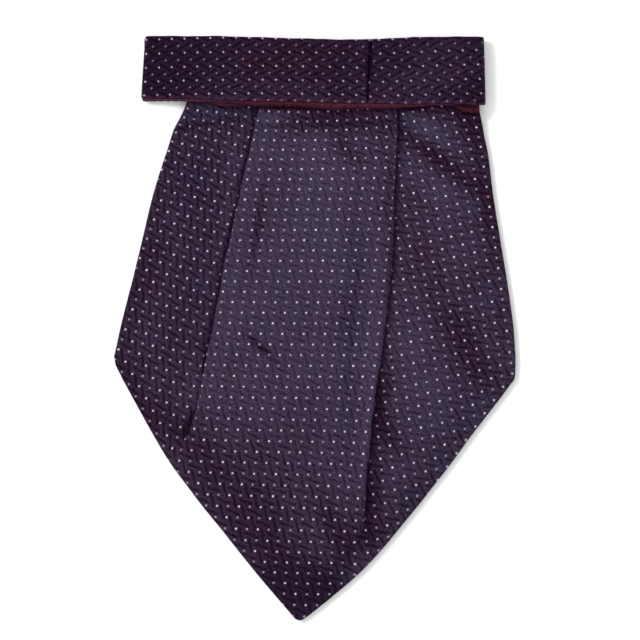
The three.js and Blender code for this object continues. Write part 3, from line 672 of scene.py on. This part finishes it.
def band_path(side):
    """The neckband half's middle line from the seam round the folded end to the join behind."""
    end = BAND_LEFT if side < 0 else BAND_RIGHT
    outer = end - side * CAD_WALL / 2
    rear_z = CAD_WALL / 2
    radius = 1.5
    for _ in range(20):
        radius = float(front_height(outer - side * radius) - rear_z) / 2
    centre = outer - side * radius
    seam = 21.5
    xs = np.concatenate([seam + side * np.arange(0, 1.9, 0.12), np.arange(seam + side * 2.0, centre, side * 0.8)])
    e = 0.5
    # Each place: across, height, the way the upper side faces, and the band's lower and upper edges there.
    out = []
    for x in xs:
        slope = math.atan(float(front_height(x + e) - front_height(x - e)) / (2 * e))
        out.append((x, float(front_height(x)), -math.sin(slope), math.cos(slope), float(band_bottom(x)), float(band_top(x))))
    for t in np.linspace(0, 1, 15)[1:]:
        a = math.pi * (0.5 - t)
        s = float(smooth((t - 0.42) / 0.58))
        out.append((centre + side * radius * math.cos(a), rear_z + radius + radius * math.sin(a), side * math.cos(a), math.sin(a), float(lerp(band_bottom(centre), BACK_BOTTOM, s)), float(lerp(band_top(centre), REAR_TOP, s))))
    join = REAR_JOIN + side * 0.04
    count = int(abs(join - centre) / 1.0) + 2
    for t in np.linspace(0, 1, count)[1:]:
        out.append((float(lerp(centre, join, t)), rear_z, 0.0, -1.0, BACK_BOTTOM, REAR_TOP))
    return np.array(out)


def make_band(side):
    path = band_path(side)
    px0, z0, nx, nz, lo, hi = (path[:, k][:, None] for k in range(6))
    front = nz > 0.3
    n = 34
    v = np.linspace(0, 1, n)[None]
    w = WALL / 2 + 0.05
    round_ = 0.42
    y = lo + round_ + (hi - lo - 2 * round_) * v
    x = px0 + lean(px0) * (v - 0.5) * np.where(nz > -0.5, 1, 0)
    s = np.concatenate([[0], np.cumsum(np.hypot(np.diff(path[:, 0]), np.diff(path[:, 1])))])[:, None]
    total = s[-1, 0]
    # At the seam each half turns down into the groove, which opens towards the top.
    own = 21.5 + lean(21.5) * (v - 0.5)
    x = x + ((seam_x(y) - own) * np.exp(-s / 4) + side * 0.07) * front
    dip = -0.85 * (1 - smooth(s / (seam_half(y) * 1.5 + 0.1)))
    join_dip = -0.35 * np.exp(-(((total - s) / 0.9) ** 2))
    gx, gy = plan(x, y)
    relief = creases("band", gx, gy) * (nz > 0.2) * smooth(s / 4)
    puff = 0.12 * np.sin(np.pi * v) ** 0.6 - 0.06
    off = join_dip * (nz < 0) + relief + puff * (nz > -0.2)
    wave = 0.05 * np.sin(s * 0.33 + 1.0 + side) + 0.04 * np.sin(s * 0.71 + 2.0)
    cx, cz = x + nx * off, z0 + nz * off
    y = y + wave * (v - 0.5) * 2
    over, back = w + dip, w - 0.3 * dip
    outer = np.stack([cx + nx * over, y, cz + nz * over], -1)
    inner = np.stack([cx - nx * back, y, cz - nz * back], -1)

    def edge(k, way):
        mid, reach = (outer[:, k] + inner[:, k]) / 2, (outer[:, k] - inner[:, k]) / 2
        return [(mid + reach * b + np.array([0, way * round_ * a, 0]))[:, None] for a, b in ((0.55, 0.85), (1.0, 0.32), (1.0, -0.32), (0.55, -0.85))]

    ring = np.concatenate([outer] + edge(-1, 1) + [inner[:, ::-1]] + edge(0, -1)[::-1], 1)
    # The pattern carries on round the fold, as far along the cloth as the path has gone.
    flat_x = 21.5 + side * s + (x - px0) * front
    qx, qy = plan(flat_x, y)
    # The cloth is drawn down a little along the top edge.
    drawn = 1.1 * smooth((qx - 225) / 60) * (1 - smooth((qx - 372) / 60))
    qy = qy - drawn * smooth((44 - qy) / 6)
    uv = (grain_band_l if side < 0 else grain_band_r)(np.clip(qx, -80, 720), qy)
    sheen_lay = sheen_and_shade("band", gx, gy)
    # Its lower edge turns under with a redder sheen.
    turned = np.exp(-(((y - lo) / 0.9) ** 2)) * front
    sheen_lay = sheen_lay + np.stack([0.48 * turned, -1.0 * turned], -1)
    # Painted shade in the seam's groove with a painted shadow beside it, stronger on the left half, and painted shade
    # where the halves join behind.
    soft = (0.45 if side < 0 else 0.15) * np.exp(-((s / (0.6 + 1.1 * smooth((y - 92) / 20))) ** 2))
    painted_shade = (np.clip(1.15 - s / (seam_half(y) * 1.1 + 0.12), 0, 1) + soft) * seam_shade(y) * front + 0.5 * np.exp(-(((total - s) / 0.7) ** 2)) + 0 * y
    shade = np.stack([0 * painted_shade + 9, np.clip(painted_shade, 0, 1)], -1)

    def spread(a):
        return np.concatenate([a] + [a[:, -1:]] * 4 + [a[:, ::-1]] + [a[:, :1]] * 4, 1)

    layers = {"Lattice": spread(uv), "SheenLay": spread(sheen_lay), "Shade": spread(shade)}
    ring = np.roll(ring, 2, 1)
    layers = {k: np.roll(a, 2, 1) for k, a in layers.items()}
    return ring_mesh("neckband_silk_left" if side < 0 else "neckband_silk_right", ring, layers)


def make_lining():
    xs = np.concatenate([np.arange(LINING_LEFT, LINING_RIGHT, 0.6), [LINING_RIGHT]])
    n = 26
    # More points near the lower edge, where it shows.
    v = np.linspace(0, 1, n)[None] ** 1.7
    x0 = xs[:, None]
    # Its lower edge is a little ragged.
    ragged = 0.10 * np.sin(x0 * 2.1 + 0.4) + 0.08 * np.sin(x0 * 4.3 + 1.0) + 0.05 * np.sin(x0 * 7.9)
    lo, hi = lining_bottom(x0) + ragged, band_top(x0) - 2.0
    w = 0.45
    round_ = 0.45
    y = lo + round_ + (hi - lo - 2 * round_) * v
    x = x0 + lean(x0) * ((y - band_bottom(x0)) / (band_top(x0) - band_bottom(x0)) - 0.5)
    below = np.maximum(band_bottom(x0) - y, 0)  # how far under the silk's edge
    base = band_under(x0) + GAP + 0.5
    # Where it shows it fills out towards the silk's own height, then rolls under.
    reach = band_bottom(x0) - lo
    down_it = below / np.maximum(reach, 0.4)
    fill = smooth((reach - 0.2) / 1.0) * 0.85 * smooth((down_it - 0.05) / 0.25) * (1 - smooth((down_it - 0.35) / 0.65)) * (below > 0)
    pucker = 0.12 * np.sin(x0 * 0.61) + 0.11 * np.sin(x0 * 1.43 + 1.0 + 0.5 * down_it) + 0.09 * np.sin(x0 * 2.9 + 2.0 - 0.8 * down_it)
    z = base + fill + pucker * smooth(below / 0.6) * 0.9
    # A second lobe at the left, below a slit, and ragged tucks at the right end.
    slit_at = 90.25 - 0.06 * (x0 + 41)
    slit = np.exp(-(((y - slit_at) / 0.36) ** 2)) * smooth((x0 + 46) / 4) * smooth((-25 - x0) / 6)
    tuck = (np.exp(-(((y - 88.6 + 0.10 * (x0 - 60)) / 0.48) ** 2)) + 0.15 * np.exp(-(((y - 87.6 + 0.14 * (x0 - 60)) / 0.24) ** 2))) * smooth((x0 - 54) / 3)
    z = z - 0.6 * slit - 0.35 * tuck
    up = np.stack([x, y, z + w], -1)
    down = np.stack([x, y, np.minimum(z - w, base - w) + 0.0 * y], -1)

    def edge(k, way):
        mid = (up[:, k] + down[:, k]) / 2
        hh = (up[:, k, 2] - down[:, k, 2]) / 2
        return [(mid + np.stack([0 * hh, 0 * hh + way * round_ * a, hh * b], -1))[:, None] for a, b in ((0.55, 0.85), (1.0, 0.32), (1.0, -0.32), (0.55, -0.85))]

    ring = np.concatenate([up] + edge(-1, 1) + [down[:, ::-1]] + edge(0, -1)[::-1], 1)
    uv = np.stack([x / 4.2, y / 4.2], -1)
    # Painted shade: in the slit and the tucks, towards the lower edge where the lining rolls under, and in the rumples
    # at the right end.
    tight = np.clip(1.25 - 0.35 * np.sin(x0 * 0.31 + 0.6), 0, 2)
    dark = 0.85 * slit + 1.05 * tuck * (1 - 0.5 * smooth((x0 - 62) / 3)) + 0.60 * smooth((down_it - 0.45) / 0.6) * tight * (1 - 0.75 * smooth((x0 - 54) / 4)) * (0.35 + 0.65 * smooth((x0 + 32) / 8))
    rumpled = 0.5 + 0.5 * np.sin(x0 * 1.3 + y * 2.6 + 1.2 * np.sin(x0 * 0.9))
    dark = np.clip(dark + 0.28 * rumpled * smooth((x0 - 54) / 4), 0, 1)
    # Painted sheen along the lining from the SATIN table, and a painted highlight just below the silk's edge, lighter
    # and paler towards violet pink.
    pale = satin_pale(x0) + 0.45 * np.exp(-((below / 0.5) ** 2))
    sheen_lay = np.stack([satin_light(x0) + 0.25 * np.exp(-((below / 0.5) ** 2)), pale], -1)
    shade = np.stack([0 * dark + 9, dark], -1)

    def spread(a):
        return np.concatenate([a] + [a[:, -1:]] * 4 + [a[:, ::-1]] + [a[:, :1]] * 4, 1)

    layers = {"Lattice": spread(uv), "SheenLay": spread(sheen_lay), "Shade": spread(shade)}
    ring = np.roll(ring, 2, 1)
    layers = {k: np.roll(a, 2, 1) for k, a in layers.items()}
    return ring_mesh("neckband_wine_lining", ring, layers)


# ------------------------------------------------------------------ materials
class Nodes:
    """Short hand for building a node tree."""

    def __init__(self, name):
        self.material = bpy.data.materials.new(name)
        self.material.use_nodes = True
        self.tree = self.material.node_tree
        self.shader = self.tree.nodes["Principled BSDF"]

    def add(self, kind, inputs=(), **props):
        node = self.tree.nodes.new(kind)
        for k, value in props.items():
            setattr(node, k, value)
        for k, value in dict(inputs).items():
            self.put(node.inputs[k], value)
        return node

    def put(self, socket, value):
        if isinstance(value, bpy.types.NodeSocket):
            self.tree.links.new(value, socket)
        else:
            socket.default_value = value

    def math(self, op, a, b=0.0, c=0.0, clamp=False):
        return self.add("ShaderNodeMath", {0: a, 1: b, 2: c}, operation=op, use_clamp=clamp).outputs[0]

    def vec(self, op, a, b=(0, 0, 0)):
        node = self.add("ShaderNodeVectorMath", {0: a, 1: b}, operation=op)
        return node.outputs["Value"] if op in ("LENGTH", "DOT_PRODUCT", "DISTANCE") else node.outputs["Vector"]

    def scaled(self, a, k):
        node = self.add("ShaderNodeVectorMath", {0: a}, operation="SCALE")
        self.put(node.inputs["Scale"], k)
        return node.outputs["Vector"]

    def ramp(self, value, a, b, lo=0.0, hi=1.0, smoothly=True):
        return self.add("ShaderNodeMapRange", {0: value, 1: a, 2: b, 3: lo, 4: hi}, interpolation_type="SMOOTHSTEP" if smoothly else "LINEAR", clamp=True).outputs[0]

    def mix(self, factor, a, b, blend="MIX"):
        node = self.add("ShaderNodeMix", data_type="RGBA", blend_type=blend)
        self.put(node.inputs["Factor"], factor)
        self.put(node.inputs[6], a)
        self.put(node.inputs[7], b)
        return node.outputs[2]

    def uv(self, layer):
        return self.add("ShaderNodeUVMap", uv_map=layer).outputs[0]

    def split(self, vector):
        node = self.add("ShaderNodeSeparateXYZ", {0: vector})
        return node.outputs[0], node.outputs[1]

    def noise(self, vector, scale, detail=2.0, rough=0.5):
        return self.add("ShaderNodeTexNoise", {"Vector": vector, "Scale": scale, "Detail": detail, "Roughness": rough}).outputs["Fac"]


def rgb(r, g, b):
    return (r, g, b, 1.0)


def silk(name, ground_dark, ground_light, ground_blue, ground_wine, dot_bright, dot_dim, stroke_depth, gloss, grain=1.0, wild=1.0, rough_speck=1.0, shaded=(0.0050, 0.0013, 0.0068, 1.0)):
    m = Nodes(name)
    lat = m.uv("Lattice")
    u, v = m.split(lat)
    # Painted sheen and hue come from one layer, painted shade from another.
    light_uv, blue_uv = m.split(m.uv("SheenLay"))
    far, held_shade = m.split(m.uv("Shade"))
    place = m.add("ShaderNodeTexCoord").outputs["Object"]

    # Pin dots at whole numbers, every other one dimmer. Threads make each a little uneven.
    ragged = m.math("MULTIPLY", m.math("SUBTRACT", m.noise(lat, 9.0, 2.0), 0.5), 0.11)
    iu, iv = m.math("ROUND", u), m.math("ROUND", v)
    du, dv = m.math("SUBTRACT", u, iu), m.math("SUBTRACT", v, iv)
    away = m.math("ADD", m.math("SQRT", m.math("ADD", m.math("MULTIPLY", du, du), m.math("MULTIPLY", dv, dv))), ragged)
    odd = m.math("FLOORED_MODULO", m.math("ADD", m.math("ADD", iu, iv), 0.25), 2.0)
    is_bright = m.math("GREATER_THAN", odd, 1.0)
    away = m.math("MULTIPLY_ADD", is_bright, 0.008, away)
    dot = m.ramp(away, 0.127, 0.074)
    size = m.math("MULTIPLY_ADD", is_bright, 0.1, 0.9)

    # Painted sheen: the listed sheen and shade with soft blotches, then the threads' own mottle.
    blotch = m.noise(lat, 0.42, 3.0, 0.55)
    patch = m.noise(place, 38.0, 2.0, 0.5)
    grainy = m.noise(lat, 8.0 * grain, 2.0, 0.65)
    fine = m.noise(lat, 3.1, 3.0, 0.65)
    slow = m.math("ADD", light_uv, m.math("ADD", m.math("MULTIPLY_ADD", blotch, 0.42, -0.21), m.math("MULTIPLY_ADD", patch, 0.30, -0.15)))

    # The ground's woven strokes, one in each cell, steep in one cell and slanting in the next, and never quite straight.
    bend = m.add("ShaderNodeTexNoise", {"Vector": lat, "Scale": 1.6, "Detail": 1.0}).outputs["Color"]
    bent = m.vec("ADD", lat, m.scaled(m.vec("SUBTRACT", bend, (0.5, 0.5, 0.5)), 0.22 * wild))
    bu, bv = m.split(bent)
    fu, fv = m.math("FLOOR", bu), m.math("FLOOR", bv)
    cu, cv = m.math("SUBTRACT", bu, fu), m.math("SUBTRACT", bv, fv)
    cell = m.math("GREATER_THAN", m.math("FLOORED_MODULO", m.math("ADD", m.math("ADD", fu, fv), 0.25), 2.0), 1.0)
    swap = m.math("SUBTRACT", 1.0, cell)
    p = m.math("ADD", m.math("MULTIPLY", cu, cell), m.math("MULTIPLY", cv, swap))
    q = m.math("ADD", m.math("MULTIPLY", cv, cell), m.math("MULTIPLY", cu, swap))
    ax, ay, bx, by = 0.32, -0.045, 0.735, 1.10
    dx, dy = bx - ax, by - ay
    sq = dx * dx + dy * dy

    def stroke(sp, sq_):
        node = m.add("ShaderNodeCombineXYZ", {0: sp, 1: sq_}).outputs[0]
        rel = m.vec("SUBTRACT", node, (ax, ay, 0))
        t = m.math("MULTIPLY", m.vec("DOT_PRODUCT", rel, (dx / sq, dy / sq, 0)), 1.0, clamp=True)
        return m.vec("LENGTH", m.vec("SUBTRACT", rel, m.scaled((dx, dy, 0), t)))

    near = m.math("MINIMUM", stroke(p, q), m.math("MINIMUM", stroke(q, m.math("ADD", p, 1.0)), stroke(q, m.math("SUBTRACT", p, 1.0))))
    near = m.math("ADD", near, m.math("MULTIPLY_ADD", fine, 0.20 * wild, -0.10 * wild))
    line = m.ramp(near, 0.175, 0.04)
    rib = m.ramp(near, 0.10, 0.34, 0.0, 1.0)
    # They show where the silk lies dark, and sink into the ground where it catches the light.
    some = m.noise(m.vec("ADD", lat, (7.3, 2.9, 0.0)), 1.1, 2.0, 0.6)
    show = m.ramp(m.math("ADD", slow, m.math("MULTIPLY_ADD", some, 1.3, -0.65)), 0.78, 0.05)
    show = m.math("MULTIPLY_ADD", show, 0.62, 0.38)

    # Fine weave.
    weave = m.math("MULTIPLY", m.math("SINE", m.math("MULTIPLY", u, 2 * math.pi * 17)), m.math("SINE", m.math("MULTIPLY", v, 2 * math.pi * 17)))

    # Painted sheen: the ground is mixed from a shaded copy of each colour to a lit one.
    lit = m.math("ADD", slow, m.math("ADD", m.math("MULTIPLY_ADD", fine, 0.40, -0.20), m.math("MULTIPLY_ADD", grainy, 0.80, -0.40)), clamp=True)
    hue = m.noise(m.vec("ADD", lat, (3.1, 1.7, 0.4)), 0.55, 3.0, 0.6)
    tint = m.math("ADD", m.math("MULTIPLY_ADD", blue_uv, 0.5, 0.5), m.math("ADD", m.math("MULTIPLY_ADD", hue, 1.0, -0.5), m.math("MULTIPLY_ADD", grainy, 0.5, -0.25)), clamp=True)
    ground = m.mix(lit, ground_dark, ground_light)
    ground = m.mix(m.math("MULTIPLY", m.ramp(tint, 0.5, 1.0), 0.6), ground, m.mix(lit, rgb(0.0075, 0.0052, 0.0150), ground_blue))
    ground = m.mix(m.math("MULTIPLY", m.ramp(tint, 0.5, 0.0), 0.6), ground, m.mix(lit, rgb(0.0260, 0.0040, 0.0125), ground_wine))
    cut = m.math("MULTIPLY", m.math("MULTIPLY", line, show), stroke_depth)
    ground = m.mix(cut, ground, rgb(0.0042, 0.0009, 0.0058))
    k = rough_speck
    speck = m.math("ADD", m.math("MULTIPLY_ADD", grainy, 3.6 * k, 1.0 - 1.8 * k), m.math("MULTIPLY_ADD", m.noise(lat, 14.0 * grain, 1.0, 0.5), 2.6 * k, -1.3 * k))
    ground = m.scaled(ground, m.math("MAXIMUM", speck, 0.2))
    which = m.add("ShaderNodeCombineXYZ", {0: iu, 1: iv}).outputs[0]
    luck = m.add("ShaderNodeTexWhiteNoise", {"Vector": which}, noise_dimensions="2D").outputs["Value"]
    dots = m.scaled(m.mix(is_bright, dot_dim, dot_bright), m.math("MULTIPLY_ADD", luck, 0.40, 0.82))
    colour = m.mix(m.math("MULTIPLY", dot, size), ground, dots)
    # Painted shade beside the folds and where the Shade layer holds it, in a dark violet or the given shaded colour,
    # with less gloss.
    far = m.math("MAXIMUM", m.math("ADD", far, m.math("MULTIPLY_ADD", fine, 0.7, -0.35)), 0.0)
    crook_shade = m.math("POWER", 0.3679, m.math("MULTIPLY", far, far))
    painted_shade = m.math("MAXIMUM", m.math("MULTIPLY", crook_shade, 0.90), m.math("MULTIPLY", held_shade, 0.90))
    colour = m.mix(painted_shade, colour, m.mix(held_shade, rgb(0.0050, 0.0013, 0.0068), shaded))
    m.put(m.shader.inputs["Base Color"], colour)

    woven = m.math("MULTIPLY", m.math("ADD", m.math("MULTIPLY", line, -1.0), m.math("MULTIPLY", rib, 0.4)), show)
    height = m.math("ADD", woven, m.math("ADD", m.math("MULTIPLY", dot, 0.35), m.math("ADD", m.math("MULTIPLY", weave, 0.05), m.math("MULTIPLY", grainy, 0.22))))
    bump = m.add("ShaderNodeBump", {"Strength": 0.6, "Distance": 0.00018, "Height": height})
    m.put(m.shader.inputs["Normal"], bump.outputs[0])
    rough = m.math("ADD", 0.50, m.math("ADD", m.math("MULTIPLY", line, 0.20), m.math("MULTIPLY", dot, 0.10)))
    m.put(m.shader.inputs["Roughness"], rough)
    m.put(m.shader.inputs["Specular IOR Level"], m.math("MULTIPLY_ADD", painted_shade, -0.8 * gloss, gloss))
    m.shader.inputs["Specular Tint"].default_value = rgb(0.80, 0.50, 1.0)
    return m.material


def satin(name):
    m = Nodes(name)
    lat = m.uv("Lattice")
    light_uv, pale = m.split(m.uv("SheenLay"))
    _, painted_shade = m.split(m.uv("Shade"))
    fine = m.noise(lat, 6.0, 3.0, 0.65)
    hair = m.noise(lat, 19.0, 2.0, 0.6)
    slow = m.noise(lat, 1.3, 2.0, 0.6)
    u, v = m.split(lat)
    cords = m.math("SINE", m.math("MULTIPLY", m.math("ADD", u, m.math("MULTIPLY", v, 0.35)), 2 * math.pi * 15))
    # Painted sheen: the satin is mixed from a shaded copy to a lit one, then paled towards violet pink.
    lit = m.math("ADD", m.math("MULTIPLY", light_uv, 0.85), m.math("ADD", m.math("MULTIPLY_ADD", fine, 2.1, -1.05), m.math("ADD", m.math("MULTIPLY_ADD", hair, 2.6, -1.3), m.math("MULTIPLY_ADD", slow, 1.2, -0.6))), clamp=True)
    colour = m.mix(lit, rgb(0.0125, 0.0019, 0.0052), rgb(0.0755, 0.0145, 0.0305))
    colour = m.mix(m.math("MULTIPLY", pale, 0.6), colour, rgb(0.0560, 0.0250, 0.0420))
    # Painted shade from the Shade layer.
    colour = m.mix(m.math("MULTIPLY", painted_shade, 0.9), colour, rgb(0.0025, 0.0005, 0.0010))
    m.put(m.shader.inputs["Base Color"], colour)
    height = m.math("ADD", m.math("MULTIPLY", cords, 0.08), m.math("MULTIPLY", fine, 0.4))
    bump = m.add("ShaderNodeBump", {"Strength": 0.5, "Distance": 0.00012, "Height": height})
    m.put(m.shader.inputs["Normal"], bump.outputs[0])
    m.put(m.shader.inputs["Roughness"], m.math("MULTIPLY_ADD", fine, 0.15, 0.42))
    m.shader.inputs["Specular IOR Level"].default_value = 0.05
    m.shader.inputs["Specular Tint"].default_value = rgb(0.95, 0.35, 0.40)
    return m.material


# The first two colours of each silk are its shaded and lit ground for the painted sheen; the blade's shaded colour is
# its redder painted shade under the lining.
blade_silk = silk("silk_blade", rgb(0.0150, 0.0061, 0.0147), rgb(0.0462, 0.0355, 0.0657), rgb(0.0352, 0.0370, 0.0717), rgb(0.0492, 0.0250, 0.0467), rgb(0.43, 0.370, 0.47), rgb(0.222, 0.178, 0.252), 0.90, 0.075, shaded=rgb(0.0085, 0.0009, 0.0036))
band_silk = silk("silk_neckband", rgb(0.0090, 0.0042, 0.0100), rgb(0.0420, 0.0290, 0.0560), rgb(0.0320, 0.0300, 0.0640), rgb(0.0520, 0.0175, 0.0330), rgb(0.305, 0.245, 0.315), rgb(0.148, 0.105, 0.154), 0.90, 0.040, 1.45, 1.5, 1.5)
wine_satin = satin("wine_lining")

front = make_front_blade()
rear = make_rear_blade()
band_l = make_band(-1)
band_r = make_band(1)
lining = make_lining()

for piece, material, node, slot in (
    (front, blade_silk, "front_blade", "silk"),
    (rear, blade_silk, "rear_blade", "silk"),
    (band_l, band_silk, "neckband_left", "neckband_silk"),
    (band_r, band_silk, "neckband_right", "neckband_silk"),
    (lining, wine_satin, "neckband_lining", "lining"),
):
    piece.data.materials.append(material)
    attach(piece, "root")
    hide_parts(node)

# ------------------------------------------------------------------ floor, light and camera
floor_mesh = bpy.data.meshes.new("floor")
size = 3.0
floor_mesh.from_pydata([(-size, -size, -0.0001), (size, -size, -0.0001), (size, size, -0.0001), (-size, size, -0.0001)], [], [(0, 1, 2, 3)])
floor = bpy.data.objects.new("floor", floor_mesh)
bpy.context.scene.collection.objects.link(floor)
paper = bpy.data.materials.new("paper_floor")
paper.use_nodes = True
paper.node_tree.nodes["Principled BSDF"].inputs["Base Color"].default_value = (0.90, 0.90, 0.90, 1)
paper.node_tree.nodes["Principled BSDF"].inputs["Roughness"].default_value = 0.9
paper.node_tree.nodes["Principled BSDF"].inputs["Specular IOR Level"].default_value = 0.1
floor_mesh.materials.append(paper)

scene = bpy.context.scene
world = bpy.data.worlds.new("studio")
world.use_nodes = True
world.node_tree.nodes["Background"].inputs["Color"].default_value = (1.0, 1.0, 1.0, 1)
world.node_tree.nodes["Background"].inputs["Strength"].default_value = 1.0
scene.world = world


def area_light(name, place, aim, size, watts):
    data = bpy.data.lights.new(name, "AREA")
    data.shape = "SQUARE"
    data.size = size
    data.energy = watts
    obj = bpy.data.objects.new(name, data)
    scene.collection.objects.link(obj)
    obj.location = place
    way = np.array(aim) - np.array(place)
    from mathutils import Vector

    obj.rotation_euler = Vector(way).to_track_quat("-Z", "Y").to_euler()
    return obj


area_light("key", (-1.6, 0.9, 1.6), (0, 0, 0), 0.9, 45.0)

camera_data = bpy.data.cameras.new("camera")
camera = bpy.data.objects.new("camera", camera_data)
scene.collection.objects.link(camera)
HEIGHT = 2.0
camera.location = (0.0020, 0.0033, HEIGHT)
camera.rotation_euler = (0, 0, 0)
camera_data.sensor_width = 36
camera_data.lens = 36 * (HEIGHT - 0.004) / 0.256
camera_data.clip_start = 0.05
camera_data.clip_end = 20
scene.camera = camera
scene.view_settings.view_transform = "Standard"
scene.view_settings.look = "None"
